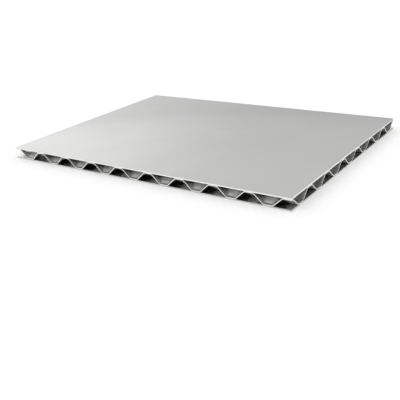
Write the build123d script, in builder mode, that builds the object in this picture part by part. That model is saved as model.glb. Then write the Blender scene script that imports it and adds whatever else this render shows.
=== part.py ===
from build123d import *
import math
import os

# Aluminium corrugated core panel: two flat face sheets bonded to one pressed core sheet.
#
# The core is a thin sheet pressed into a checkerboard of bumps and dimples. Each bump is a hollow square
# frustum whose flat land is bonded to the top sheet. Each dimple is the same frustum turned over, bonded to
# the bottom sheet. Cut through the middle of a row, the core shows a wave with flat crests and valleys, and
# it does so on all four edges of the panel.
#
# Sizes are in millimetres. X runs along the panel's width, Y along its depth, and Z up through its layers.
# The origin is in the middle of the underside.

os.makedirs("parts", exist_ok=True)

# Panel outline
panel_width = 140.0
panel_depth = 105.0

# Layers, from the underside up
bottom_sheet_gauge = 0.5
lower_bond_gauge = 0.1
core_height = 3.8  # over the lands on both sides of the pressed sheet
upper_bond_gauge = 0.1
top_sheet_gauge = 0.5

# Pressed form of the core
core_gauge = 0.3
crest_pitch = 15.2  # from one crest to the next, along a row and along a column
land_width = 3.8  # between the points at mid gauge where the walls would meet the land with no bend
bend_radius = 0.8  # at mid gauge, where a wall turns into its land

# Heights of the layers
lower_bond_base = bottom_sheet_gauge
core_base = lower_bond_base + lower_bond_gauge
core_middle = core_base + core_height / 2
upper_bond_base = core_base + core_height
top_sheet_base = upper_bond_base + upper_bond_gauge

# Each bump or dimple fills one square cell. A wall starts at the core's middle height on the cell's edge,
# where a bump runs on into the next dimple. "In" is the distance from that edge, "rise" the height above
# the core's middle, both at mid gauge.
cell_width = crest_pitch / 2
land_rise = (core_height - core_gauge) / 2
wall_run = (cell_width - land_width) / 2
wall_angle = math.atan2(land_rise, wall_run)

# A bend is made as one facet between the two points where the round bend would start and end
bend_angle = wall_angle / 2
bend_setback = bend_radius * math.tan(bend_angle)
bend_start_in = wall_run - bend_setback * math.cos(wall_angle)

# Half the gauge, as measured upright through the land, a wall and a bend
half_gauge = core_gauge / 2
half_wall = half_gauge / math.cos(wall_angle)
half_bend = half_gauge / math.cos(bend_angle)

# Cells from the middle one out to the panel's edges
cells_out = math.ceil((panel_width / cell_width - 1) / 2)
rows_out = math.ceil((panel_depth / cell_width - 1) / 2)


def frustum(side):
    """A bump's outer form (side 1) or the hollow under it (side -1).

    Each is the bump's form at mid gauge with its wall, bend and land moved half the gauge outwards or
    inwards, which keeps the pressed sheet equally thick all over. The walls and then the bends are drawn in
    from the cell's square by a taper, so every face is flat.
    """
    bend_in = bend_start_in + side * (half_bend - half_wall) / (math.tan(wall_angle) - math.tan(bend_angle))
    foot_rise = side * half_wall
    bend_rise = foot_rise + bend_in * math.tan(wall_angle)
    land_face_rise = land_rise + side * half_gauge
    with BuildPart() as form:
        with BuildSketch(Plane.XY.offset(core_middle + foot_rise)):
            Rectangle(cell_width, cell_width)
        extrude(amount=bend_rise - foot_rise, taper=90 - math.degrees(wall_angle))
        wall_top = form.faces().sort_by(Axis.Z)[-1]
        extrude(wall_top, amount=land_face_rise - bend_rise, taper=90 - math.degrees(bend_angle))
    return form.part


def every_other(first, last, step):
    """Distances of every other cell from the middle, from the first up to the last, one step a cell."""
    return [number * step for number in range(first, last + 1, 2)]


# One cell of the core: a bump, and the same cell turned over, which is a dimple
with BuildPart() as bump:
    with BuildSketch(Plane.XY.offset(core_middle - half_wall)):
        Rectangle(cell_width, cell_width)
    extrude(amount=2 * half_wall)
    add(frustum(1))
    add(frustum(-1), mode=Mode.SUBTRACT)

with BuildPart() as dimple:
    add(bump.part.mirror(Plane.XY.offset(core_middle)))

# Half a row, from the middle of the panel out to its side: bumps and dimples in turn
with BuildPart() as bump_row:
    with Locations(*[(x, 0) for x in every_other(0, cells_out, cell_width)]):
        add(bump.part)
    with Locations(*[(x, 0) for x in every_other(1, cells_out, cell_width)]):
        add(dimple.part)

# The rows between them have a dimple where their neighbours have a bump
with BuildPart() as dimple_row:
    add(bump_row.part.mirror(Plane.XY.offset(core_middle)))

# Core sheet: a quarter is built of half rows and cut to the panel's outline, then mirrored both ways
with BuildPart() as core_sheet:
    with Locations(*[(0, y) for y in every_other(0, rows_out, cell_width)]):
        add(bump_row.part, clean=False)
    with Locations(*[(0, y) for y in every_other(1, rows_out, cell_width)]):
        add(dimple_row.part, clean=False)
    with BuildSketch(Plane.XY.offset(core_base)):
        Rectangle(panel_width / 2, panel_depth / 2, align=(Align.MIN, Align.MIN))
    extrude(amount=core_height, mode=Mode.INTERSECT)
    mirror(about=Plane.YZ)
    mirror(about=Plane.XZ)
core_sheet.part.label = "core_sheet"
export_step(core_sheet.part, "parts/core_sheet.step")

# Face sheets and the bond films that hold them to the core's lands
with BuildPart() as bottom_face_sheet:
    with BuildSketch(Plane.XY):
        Rectangle(panel_width, panel_depth)
    extrude(amount=bottom_sheet_gauge)
bottom_face_sheet.part.label = "bottom_face_sheet"
export_step(bottom_face_sheet.part, "parts/bottom_face_sheet.step")

with BuildPart() as lower_bond_film:
    with BuildSketch(Plane.XY.offset(lower_bond_base)):
        Rectangle(panel_width, panel_depth)
    extrude(amount=lower_bond_gauge)
lower_bond_film.part.label = "lower_bond_film"
export_step(lower_bond_film.part, "parts/lower_bond_film.step")

with BuildPart() as upper_bond_film:
    with BuildSketch(Plane.XY.offset(upper_bond_base)):
        Rectangle(panel_width, panel_depth)
    extrude(amount=upper_bond_gauge)
upper_bond_film.part.label = "upper_bond_film"
export_step(upper_bond_film.part, "parts/upper_bond_film.step")

with BuildPart() as top_face_sheet:
    with BuildSketch(Plane.XY.offset(top_sheet_base)):
        Rectangle(panel_width, panel_depth)
    extrude(amount=top_sheet_gauge)
top_face_sheet.part.label = "top_face_sheet"
export_step(top_face_sheet.part, "parts/top_face_sheet.step")
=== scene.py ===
# %% [markdown]
# # Aluminium corrugated core panel
# The panel is a sandwich: two thin flat face sheets with a pressed core sheet between them, held together
# by two films of adhesive. Its measured model is loaded first and stays as it is. The lesson then makes
# the surfaces that show, and lights them. A face sheet needs softened edges that catch the light, and the
# core needs round bends. The films are right as they are and only get a finish.

# %% Load the measured panel
import math

import bmesh
import bpy
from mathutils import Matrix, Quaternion, Vector


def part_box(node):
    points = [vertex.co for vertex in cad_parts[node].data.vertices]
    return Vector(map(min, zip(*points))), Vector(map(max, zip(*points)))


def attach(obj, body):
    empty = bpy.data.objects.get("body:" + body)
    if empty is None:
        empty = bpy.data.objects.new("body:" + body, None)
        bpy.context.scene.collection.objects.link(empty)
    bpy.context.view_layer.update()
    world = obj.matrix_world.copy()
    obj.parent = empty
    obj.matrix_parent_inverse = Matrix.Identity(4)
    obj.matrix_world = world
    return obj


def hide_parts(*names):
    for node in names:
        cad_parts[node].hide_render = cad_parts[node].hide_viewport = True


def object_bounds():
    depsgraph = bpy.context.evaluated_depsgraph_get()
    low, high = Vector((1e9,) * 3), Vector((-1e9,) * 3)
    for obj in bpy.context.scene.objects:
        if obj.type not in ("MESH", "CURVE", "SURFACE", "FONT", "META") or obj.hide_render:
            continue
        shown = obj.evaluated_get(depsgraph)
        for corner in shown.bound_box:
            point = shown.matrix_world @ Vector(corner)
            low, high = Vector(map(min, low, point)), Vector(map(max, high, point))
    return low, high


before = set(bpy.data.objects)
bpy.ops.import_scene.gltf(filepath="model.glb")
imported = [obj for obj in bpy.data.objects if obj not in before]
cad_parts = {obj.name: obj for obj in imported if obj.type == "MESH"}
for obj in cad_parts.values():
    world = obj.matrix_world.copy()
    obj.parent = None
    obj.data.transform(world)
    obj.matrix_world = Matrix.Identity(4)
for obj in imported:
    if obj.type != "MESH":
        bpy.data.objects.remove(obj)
cad_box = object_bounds()
panel_low, panel_high = cad_box
print("panel", [round(side * 1000, 2) for side in panel_high - panel_low], "mm")

# %% [markdown]
# ## Lengths
# Blender works in metres, and a sheet is talked about in millimetres, so one helper turns one into the
# other. The panel's outline and the heights of its layers are read from the loaded model. Only the
# pressed form of the core has sizes of its own here.

# %% Lengths
def mm(length):
    """A length in millimetres, in metres."""
    return length / 1000


half_width = panel_high.x
half_depth = panel_high.y
core_low, core_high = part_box("core_sheet")
core_middle = (core_low.z + core_high.z) / 2
core_gauge = mm(0.3)
crest_pitch = mm(15.2)
cell = crest_pitch / 2
land_width = mm(3.8)
bend_radius = mm(0.8)
print("core from", round(core_low.z * 1000, 2), "to", round(core_high.z * 1000, 2), "mm up")

# %% [markdown]
# ## A piece of the panel
# Every shape in this lesson is made in a bmesh, which is Blender's mesh workshop, and then becomes an
# object. The object stays at the origin, so its place is in its mesh, and a pattern on Object coordinates
# lies the same way on every layer. Each piece rides on the panel, and says which finish it takes.

# %% Helper that turns a bmesh into a piece
def piece_from(mesh, name, material, smooth_angle):
    """A piece of the panel from a finished bmesh. Edges sharper than smooth_angle stay crisp."""
    data = bpy.data.meshes.new(name)
    mesh.to_mesh(data)
    mesh.free()
    data.materials.append(material)
    data.shade_smooth()
    data.set_sharp_from_angle(angle=smooth_angle)
    piece = bpy.data.objects.new(name, data)
    bpy.context.scene.collection.objects.link(piece)
    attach(piece, "root")
    data.calc_loop_triangles()
    print(name, len(data.vertices), "vertices", len(data.loop_triangles), "triangles")
    return piece


# %% [markdown]
# ## Finishes
# A finish is a Principled BSDF whose inputs are driven by small patterns. The patterns that more than one
# finish needs are node groups with named inputs and outputs. These helpers keep their wiring short to
# read.

# %% Helpers for node trees
def group(name, inputs, outputs):
    """An empty node group, with its in and out. Each input is (name, default), and each output a name."""
    tree = bpy.data.node_groups.new(name, "ShaderNodeTree")
    for label, default in inputs:
        socket = tree.interface.new_socket(label, in_out="INPUT", socket_type="NodeSocketFloat")
        socket.default_value = default
    for label in outputs:
        tree.interface.new_socket(label, in_out="OUTPUT", socket_type="NodeSocketFloat")
    return tree, tree.nodes.new("NodeGroupInput"), tree.nodes.new("NodeGroupOutput")


def add_node(tree, kind, settings=(), **inputs):
    """A node with its settings and inputs. An input is a value, or the socket that feeds it."""
    node = tree.nodes.new(kind)
    for name, value in dict(settings).items():
        setattr(node, name, value)
    for name, value in inputs.items():
        socket = node.inputs[int(name[1:])] if name[1:].isdigit() else node.inputs[name.replace("_", " ")]
        if isinstance(value, bpy.types.NodeSocket):
            tree.links.new(value, socket)
        else:
            socket.default_value = value
    return node


def math_node(tree, operation, *values):
    """The result of a Math node on up to three values or sockets."""
    inputs = {f"_{number}": value for number, value in enumerate(values)}
    return add_node(tree, "ShaderNodeMath", {"operation": operation}, **inputs).outputs[0]


def spread(tree, value, old_range, new_range=(0.0, 1.0)):
    """A value moved smoothly from one range to another and kept inside it."""
    settings = {"interpolation_type": "SMOOTHSTEP"}
    inputs = {f"_{number}": end for number, end in enumerate((*old_range, *new_range), start=1)}
    return add_node(tree, "ShaderNodeMapRange", settings, Value=value, **inputs).outputs[0]


def mix_value(tree, share, plain, other):
    """The first value where share is 0 and the other where it is 1."""
    return add_node(tree, "ShaderNodeMix", _0=share, _2=plain, _3=other).outputs[0]


def mix_colour(tree, share, plain, other):
    """The first colour where share is 0 and the other where it is 1."""
    node = add_node(tree, "ShaderNodeMix", {"data_type": "RGBA"}, _0=share)
    for number, colour in ((6, plain), (7, other)):
        if isinstance(colour, bpy.types.NodeSocket):
            tree.links.new(colour, node.inputs[number])
        else:
            node.inputs[number].default_value = (*colour, 1.0)
    return node.outputs[2]


# %% [markdown]
# ### Cut edge
# The panel was cut out of a larger one, so every layer ends in a freshly cut face, which differs in tone
# from the rolled surface. It could be a material of its own, given to the right faces. Where the cut is
# can also be told by place alone, with no faces to pick: it is the outer skin of the panel, at its full
# width or depth.

# %% Group that finds the cut edge
def make_cut_edge():
    """1 on the outer cut faces of the panel, 0 inside, over a band as wide as the input."""
    tree, given, result = group("cut_edge", [("Band", mm(0.03))], ["Mask"])
    place = add_node(tree, "ShaderNodeTexCoord").outputs["Object"]
    parts = add_node(tree, "ShaderNodeSeparateXYZ", Vector=place).outputs
    inside = [
        math_node(tree, "SUBTRACT", half, math_node(tree, "ABSOLUTE", parts[axis]))
        for axis, half in (("X", half_width), ("Y", half_depth))
    ]
    nearest = math_node(tree, "MINIMUM", *inside)
    mask = spread(tree, nearest, (0.0, given.outputs["Band"]), (1.0, 0.0))
    tree.links.new(mask, result.inputs["Mask"])
    return tree


cut_edge = make_cut_edge()
print("cut edge group", len(cut_edge.nodes), "nodes")

# %% [markdown]
# ### Rolling grain
# Sheet metal comes off the mill with a very fine grain along the direction it was rolled in, here the
# panel's width. It could be painted as an image, but a stretched noise never repeats and costs nothing:
# drawn out sixty times along X it gives fine streaks. A slower noise that isn't drawn out adds faint
# cloudy patches.

# %% Group that makes the rolling grain
def make_rolling_grain():
    """Fine streaks along X, and slow cloudy variation, both from 0 to 1."""
    inputs = [("Lines_per_mm", 8.0), ("Stretch", 60.0)]
    tree, given, result = group("rolling_grain", inputs, ["Streaks", "Clouds"])
    place = add_node(tree, "ShaderNodeTexCoord").outputs["Object"]
    across = math_node(tree, "DIVIDE", given.outputs["Lines_per_mm"], mm(1))
    along = math_node(tree, "DIVIDE", across, given.outputs["Stretch"])
    scale = add_node(tree, "ShaderNodeCombineXYZ", X=along, Y=across, Z=across).outputs[0]
    stretching = add_node(tree, "ShaderNodeVectorMath", {"operation": "MULTIPLY"}, _0=place, _1=scale)
    drawn_out = stretching.outputs[0]
    fine = add_node(tree, "ShaderNodeTexNoise", Vector=drawn_out, Scale=1.0, Detail=3.0, Roughness=0.6)
    slow = add_node(tree, "ShaderNodeTexNoise", Vector=place, Scale=45.0, Detail=3.0, Roughness=0.5)
    tree.links.new(fine.outputs["Fac"], result.inputs["Streaks"])
    tree.links.new(slow.outputs["Fac"], result.inputs["Clouds"])
    return tree


rolling_grain = make_rolling_grain()
print("rolling grain group", len(rolling_grain.nodes), "nodes")

# %% [markdown]
# ### Mill finish aluminium
# The sheets are satin aluminium, just as the mill rolled it. The light on them is soft and even, so the
# finish is nearly plain: the grain changes the roughness a little and the colour even less. The core's
# aluminium is paler and rougher, because the press has stretched it. A cut edge has its own tone, and on
# the top sheet and the core it is painted brighter than bare aluminium, a painted highlight that keeps it
# standing out where it is only a pixel wide. On the bottom sheet the cut edge is painted darker: painted
# shade.

# %% Metal finishes
noise_middle = (0.3, 0.7)
grain_height = mm(0.0004)
cut_roughness = 0.3


def metal_finish(name, colour, streak_colour, cut_colour, roughness):
    """Aluminium with rolling grain, and a cut edge whose tone holds a painted highlight or shade. Roughness
    is (least, most).
    """
    material = bpy.data.materials.new(name)
    material.use_nodes = True
    tree = material.node_tree
    shader = tree.nodes["Principled BSDF"]
    grain = add_node(tree, "ShaderNodeGroup", {"node_tree": rolling_grain})
    cut = add_node(tree, "ShaderNodeGroup", {"node_tree": cut_edge})
    streaks = spread(tree, grain.outputs["Streaks"], noise_middle)
    clouds = spread(tree, grain.outputs["Clouds"], noise_middle)
    shade = mix_value(tree, 0.5, streaks, clouds)
    skin = mix_colour(tree, shade, colour, streak_colour)
    # The cut edge takes the cut colour, with its painted highlight or painted shade.
    tree.links.new(mix_colour(tree, cut.outputs["Mask"], skin, cut_colour), shader.inputs["Base Color"])
    rough = mix_value(tree, cut.outputs["Mask"], mix_value(tree, shade, *roughness), cut_roughness)
    tree.links.new(rough, shader.inputs["Roughness"])
    shader.inputs["Metallic"].default_value = 1.0
    bump = add_node(tree, "ShaderNodeBump", Height=streaks, Distance=grain_height, Strength=1.0)
    tree.links.new(bump.outputs[0], shader.inputs["Normal"])
    print(name, len(tree.nodes), "nodes")
    return material


rolled_colours = ((0.78, 0.78, 0.775), (0.75, 0.75, 0.745))
pressed_colours = ((0.92, 0.92, 0.91), (0.88, 0.88, 0.87))
rolled_roughness = (0.34, 0.4)
pressed_roughness = (0.5, 0.6)
# The top sheet's and the core's cut colour is brighter than bare aluminium, a painted highlight; the bottom
# sheet's is darker, painted shade.
cut_tone_and_painted_highlight = (0.95, 0.95, 0.94)
cut_in_painted_shade = (0.7, 0.7, 0.69)
# The top and bottom finishes are one aluminium as a lit and a shaded copy: only the painted highlight and
# painted shade on the cut edge differ.
top_finish = metal_finish("painted_highlight_edge_aluminium", *rolled_colours, cut_tone_and_painted_highlight, rolled_roughness)
bottom_finish = metal_finish("painted_shade_edge_aluminium", *rolled_colours, cut_in_painted_shade, rolled_roughness)
core_finish = metal_finish("pressed_aluminium", *pressed_colours, cut_tone_and_painted_highlight, pressed_roughness)

# %% [markdown]
# ### Adhesive film
# The adhesive is rolled out clear and thin over the whole inner side of each face sheet. What shows
# inside the cells is therefore the metal behind it, a little darker and glossier than the bare sheet. It
# could be modelled as glass over metal, but a clear layer this thin is better painted: a metal finish
# whose colour and gloss are mottled looks the same.

# %% Adhesive finish
film_colours = ((0.78, 0.78, 0.77), (0.72, 0.72, 0.71))
film_roughness = (0.27, 0.37)


def film_finish():
    """Clear adhesive over metal, with a faint mottle in its colour and gloss."""
    material = bpy.data.materials.new("clear_adhesive")
    material.use_nodes = True
    tree = material.node_tree
    shader = tree.nodes["Principled BSDF"]
    place = add_node(tree, "ShaderNodeTexCoord").outputs["Object"]
    mottle = add_node(tree, "ShaderNodeTexNoise", Vector=place, Scale=900.0, Detail=2.0)
    shade = spread(tree, mottle.outputs["Fac"], (0.35, 0.65))
    tree.links.new(mix_colour(tree, shade, *film_colours), shader.inputs["Base Color"])
    tree.links.new(mix_value(tree, shade, *film_roughness), shader.inputs["Roughness"])
    shader.inputs["Metallic"].default_value = 1.0
    return material


adhesive = film_finish()
for name in ("lower_bond_film", "upper_bond_film"):
    film_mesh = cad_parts[name].data
    film_mesh.materials.clear()
    film_mesh.materials.append(adhesive)
    print(name, "takes", adhesive.name)

# %% [markdown]
# ## Face sheets
# A face sheet is a flat plate. A cube scaled to the sheet's own box would do, but no cut sheet has knife
# edges: they are broken by a few hundredths of a millimetre, and that is what draws a bright line along
# them. So every edge of the plate is bevelled.

# %% Face sheets
broken_edge = mm(0.04)
sheet_smoothing = math.radians(30)


def face_sheet(name, node, finish):
    """A flat sheet that fills its measured node's box, with broken edges."""
    low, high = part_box(node)
    mesh = bmesh.new()
    bmesh.ops.create_cube(mesh, size=1.0)
    bmesh.ops.scale(mesh, vec=high - low, verts=mesh.verts)
    bmesh.ops.translate(mesh, vec=(low + high) / 2, verts=mesh.verts)
    bmesh.ops.bevel(
        mesh,
        geom=mesh.edges[:],
        offset=broken_edge,
        affect="EDGES",
        segments=2,
        profile=0.5,
        material=-1,
    )
    piece = piece_from(mesh, name, finish, sheet_smoothing)
    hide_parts(node)


face_sheet("top_skin", "top_face_sheet", top_finish)
face_sheet("bottom_skin", "bottom_face_sheet", bottom_finish)

# %% [markdown]
# ## Profile of the core
# The core is one sheet pressed into bumps and dimples like an egg tray. A bump is a square hump with a
# flat land on top, and a dimple is the same hump upside down. Cut through its middle, a bump shows a
# straight wall, a round bend and half a land. The bend could be one bevelled edge, but then its ends
# would depend on the faces round it. Here its points are worked out on the arc that the press tool has.

# %% Profile of one bump
land_rise = (core_high.z - core_low.z - core_gauge) / 2
wall_run = (cell - land_width) / 2
wall_angle = math.atan2(land_rise, wall_run)
bend_middle_in = wall_run + bend_radius * math.tan(wall_angle / 2)
bend_middle_rise = land_rise - bend_radius
bend_steps = 3


def bend_point(step):
    """(distance in from the cell's edge, rise) on the bend. Step 0 is at the wall, the last at the land."""
    angle = wall_angle * (1 - step / bend_steps)
    distance_in = bend_middle_in - bend_radius * math.sin(angle)
    return distance_in, bend_middle_rise + bend_radius * math.cos(angle)


profile = [bend_point(step) for step in range(bend_steps + 1)]
print("profile", [(round(distance * 1000, 2), round(rise * 1000, 2)) for distance, rise in profile])

# %% [markdown]
# ## One bump
# One bump is shaped from a single square face. Its corners are rounded first, because a sheet can't be
# pressed into a sharp corner without tearing. Then it is inset again and again, and each inset is drawn
# in and lifted along the profile. Extruding would do the same, but an inset keeps the ring of faces even.

# %% One bump
foot_corner = mm(1.9)


def bump_mesh(upside_down):
    """The sheet's middle surface over one cell: a bump, or a dimple when it is upside down."""
    mesh = bmesh.new()
    bmesh.ops.create_grid(mesh, x_segments=1, y_segments=1, size=cell / 2)
    bmesh.ops.bevel(
        mesh,
        geom=mesh.verts[:],
        offset=foot_corner,
        affect="VERTICES",
        segments=2,
        profile=0.5,
        material=-1,
    )
    mesh.faces.ensure_lookup_table()
    land = mesh.faces[0]
    reach, height = cell / 2, 0.0
    for distance_in, rise in profile:
        bmesh.ops.inset_individual(mesh, faces=[land], thickness=0.0)
        drawn_in = (cell / 2 - distance_in) / reach
        bmesh.ops.scale(mesh, vec=(drawn_in, drawn_in, 1.0), verts=land.verts)
        bmesh.ops.translate(mesh, vec=(0.0, 0.0, rise - height), verts=land.verts)
        reach, height = cell / 2 - distance_in, rise
    if upside_down:
        bmesh.ops.scale(mesh, vec=(1.0, 1.0, -1.0), verts=mesh.verts)
        bmesh.ops.reverse_faces(mesh, faces=mesh.faces)
    data = bpy.data.meshes.new("cell_pattern")
    mesh.to_mesh(data)
    mesh.free()
    return data


patterns = [bump_mesh(False), bump_mesh(True)]
print("one bump has", len(patterns[0].polygons), "faces")

# %% [markdown]
# ## Core sheet
# The cells are laid out in a checkerboard that is a little larger than the panel. An Array modifier could
# only repeat one cell, so a loop sets bumps and dimples in turn. Four rounded corners leave a small open
# star wherever four cells meet, so those stars are filled, and smoothing lets the sheet settle between
# its neighbours.

# %% Middle surface of the core sheet
columns_out = math.ceil(half_width / cell - 0.5)
rows_out = math.ceil(half_depth / cell - 0.5)
merge_distance = mm(0.001)
star_sides = 8


def core_surface():
    """The pressed core sheet's middle surface, a little larger than the panel."""
    mesh = bmesh.new()
    for column in range(-columns_out, columns_out + 1):
        for row in range(-rows_out, rows_out + 1):
            made = len(mesh.verts)
            mesh.from_mesh(patterns[(column + row) % 2])
            mesh.verts.ensure_lookup_table()
            bmesh.ops.translate(mesh, vec=(column * cell, row * cell, core_middle), verts=mesh.verts[made:])
    bmesh.ops.remove_doubles(mesh, verts=mesh.verts, dist=merge_distance)
    open_edges = [edge for edge in mesh.edges if edge.is_boundary]
    stars = bmesh.ops.holes_fill(mesh, edges=open_edges, sides=star_sides)["faces"]
    saddles = {corner for star in stars for corner in star.verts}
    bmesh.ops.poke(mesh, faces=stars)
    bmesh.ops.recalc_face_normals(mesh, faces=mesh.faces)
    bmesh.ops.smooth_vert(mesh, verts=list(saddles), factor=0.5, use_axis_z=True)
    return mesh


core_mesh = core_surface()
print("core surface", len(core_mesh.faces), "faces")

# %% [markdown]
# The surface now gets its thickness and is cut out of the larger sheet, in that order, which keeps the
# cut ends square as a saw leaves them. Solidify adds the whole gauge below the surface, so the sheet is
# lifted by half of it. Each cut leaves an open wavy strip, which is filled with triangles.

# %% Core sheet with its thickness, cut to size
def cut_square(mesh, side, normal):
    """Takes away what lies beyond a flat cut through side, and closes the cut."""
    everything = mesh.verts[:] + mesh.edges[:] + mesh.faces[:]
    cut = bmesh.ops.bisect_plane(mesh, geom=everything, plane_co=side, plane_no=normal, clear_outer=True)
    rim = [part for part in cut["geom_cut"] if isinstance(part, bmesh.types.BMEdge)]
    bmesh.ops.triangle_fill(mesh, edges=rim, use_beauty=True)


core_smoothing = math.radians(35)
bmesh.ops.solidify(core_mesh, geom=core_mesh.faces, thickness=core_gauge)
bmesh.ops.translate(core_mesh, vec=(0.0, 0.0, core_gauge / 2), verts=core_mesh.verts)
for direction in (-1, 1):
    cut_square(core_mesh, (direction * half_width, 0.0, 0.0), (direction, 0.0, 0.0))
    cut_square(core_mesh, (0.0, direction * half_depth, 0.0), (0.0, direction, 0.0))
bmesh.ops.recalc_face_normals(core_mesh, faces=core_mesh.faces)
print("open edges left", sum(edge.is_boundary for edge in core_mesh.edges))
core = piece_from(core_mesh, "pressed_core", core_finish, core_smoothing)
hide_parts("core_sheet")

# %% [markdown]
# ## Floor
# The panel lies on a plain white floor. A white floor in soft light still looks grey unless it is lit
# harder than the panel, and hard light would spoil the metal. So the floor glows a little, like a sheet
# of milky plastic with lamps under it, and keeps a soft shadow. It ends before it gets dim, so that no
# grey line shows at the horizon.

# %% Floor
floor_reach = 1.5
floor_glow = 0.18
floor_mesh = bmesh.new()
bmesh.ops.create_grid(floor_mesh, x_segments=1, y_segments=1, size=floor_reach)
floor_data = bpy.data.meshes.new("floor")
floor_mesh.to_mesh(floor_data)
floor_mesh.free()
floor = bpy.data.objects.new("floor", floor_data)
bpy.context.scene.collection.objects.link(floor)
floor_finish = bpy.data.materials.new("white_floor")
floor_finish.use_nodes = True
floor_shader = floor_finish.node_tree.nodes["Principled BSDF"]
floor_shader.inputs["Base Color"].default_value = (0.88, 0.88, 0.88, 1.0)
floor_shader.inputs["Roughness"].default_value = 0.9
floor_shader.inputs["Emission Color"].default_value = (1.0, 1.0, 1.0, 1.0)
floor_shader.inputs["Emission Strength"].default_value = floor_glow
floor_data.materials.append(floor_finish)
print("floor", 2 * floor_reach, "m wide")

# %% [markdown]
# ## Lights
# Satin metal mirrors a light as a blurred patch, and a small strong light would burn that patch white. So
# two large weak lights stand far off, one at the front left and one at the right.

# %% Lights
light_distance = 3.6


def way_to(azimuth, elevation):
    """The way from the panel to a place round it. Azimuth 0 is in front of the panel, 90 at its right."""
    turn, tilt = math.radians(azimuth), math.radians(elevation)
    return Vector((math.sin(turn) * math.cos(tilt), -math.cos(turn) * math.cos(tilt), math.sin(tilt)))


def soft_light(name, azimuth, elevation, width, height, power):
    """A rectangular soft light that looks at the panel."""
    data = bpy.data.lights.new(name, "AREA")
    data.shape = "RECTANGLE"
    data.size = width
    data.size_y = height
    data.energy = power
    light = bpy.data.objects.new(name, data)
    away = way_to(azimuth, elevation)
    light.location = away * light_distance
    light.rotation_mode = "QUATERNION"
    light.rotation_quaternion = away.to_track_quat("Z", "Y")
    bpy.context.scene.collection.objects.link(light)
    print(name, power, "W")


soft_light("front_left", azimuth=-40, elevation=45, width=3.0, height=1.8, power=5)
soft_light("right", azimuth=88, elevation=30, width=3.0, height=2.0, power=3)

# %% [markdown]
# ## Room
# A sheet of metal shows the room more than the lights, so the greys of the room decide how it looks. A
# dim strip low in front keeps the hollows under the crests dark. Above it the front is bright, like a
# large window, and it dims again overhead. The back is a nearly even grey, which the top sheet mirrors,
# and it is paler at the left, which draws the sweep over that end of the sheet. A picture could light the
# room as well, but a few smooth ramps are enough for plain metal. The camera itself sees plain white.
#
# The greys follow the direction that a ray leaves in. Its Y runs from -1 in front of the panel to 1
# behind it, its X from -1 at the left to 1 at the right, and its Z is 1 straight up.

# %% Room
low_front_tone = 0.08
high_front_tone = 0.68
overhead_change = -0.2
back_tone = 0.475
high_back_tone = 0.535
back_left_change = 0.36
seen_tone = 0.8


def studio_room():
    """A soft grey room round the panel that the camera sees as plain white."""
    room = bpy.data.worlds.new("studio_room")
    room.use_nodes = True
    tree = room.node_tree
    ray = add_node(tree, "ShaderNodeTexCoord").outputs["Generated"]
    parts = add_node(tree, "ShaderNodeSeparateXYZ", Vector=ray).outputs
    climb = spread(tree, parts["Z"], (0.1, 0.5), (low_front_tone, high_front_tone))
    overhead = spread(tree, parts["Z"], (0.75, 1.0), (0.0, overhead_change))
    front = math_node(tree, "ADD", climb, overhead)
    back = spread(tree, parts["Z"], (0.3, 0.6), (back_tone, high_back_tone))
    to_back = spread(tree, parts["Y"], (-0.3, 0.6))
    to_left = spread(tree, parts["X"], (-0.4, -0.95), (0.0, back_left_change))
    paler = math_node(tree, "MULTIPLY", to_back, to_left)
    tone = math_node(tree, "ADD", mix_value(tree, to_back, front, back), paler)
    seen = add_node(tree, "ShaderNodeLightPath").outputs["Is Camera Ray"]
    tree.links.new(mix_value(tree, seen, tone, seen_tone), tree.nodes["Background"].inputs["Color"])
    return room


bpy.context.scene.world = studio_room()
bpy.context.scene.view_settings.view_transform = "Standard"
bpy.context.scene.view_settings.look = "High Contrast"
print("room greys", low_front_tone, high_front_tone, back_tone)

# %% [markdown]
# ## Camera
# The camera stands at the panel's front right, a little above it, and is tilted a few degrees, which
# makes the left corner sit lower in the frame. It could be set by eye, but a fit to the panel's seven
# visible corners found its place, its tilt and its lens at once, and they are given here.

# %% Camera
camera_azimuth = 35.77
camera_elevation = 22.78
camera_roll = -4.04
camera_distance = mm(213.0)
aim = Vector((mm(42.51), mm(-67.09), mm(5.0)))
lens = 55.87

camera_data = bpy.data.cameras.new("camera")
camera_data.sensor_width = 36.0
camera_data.lens = lens
camera_data.clip_start = mm(5.0)
camera_data.clip_end = 50.0
camera = bpy.data.objects.new("camera", camera_data)
back = way_to(camera_azimuth, camera_elevation)
tilted = Quaternion((0.0, 0.0, 1.0), math.radians(camera_roll))
camera.location = aim + back * camera_distance
camera.rotation_mode = "QUATERNION"
camera.rotation_quaternion = back.to_track_quat("Z", "Y") @ tilted
bpy.context.scene.collection.objects.link(camera)
bpy.context.scene.camera = camera
print("camera", camera_distance, "m from its aim, lens", lens, "mm")
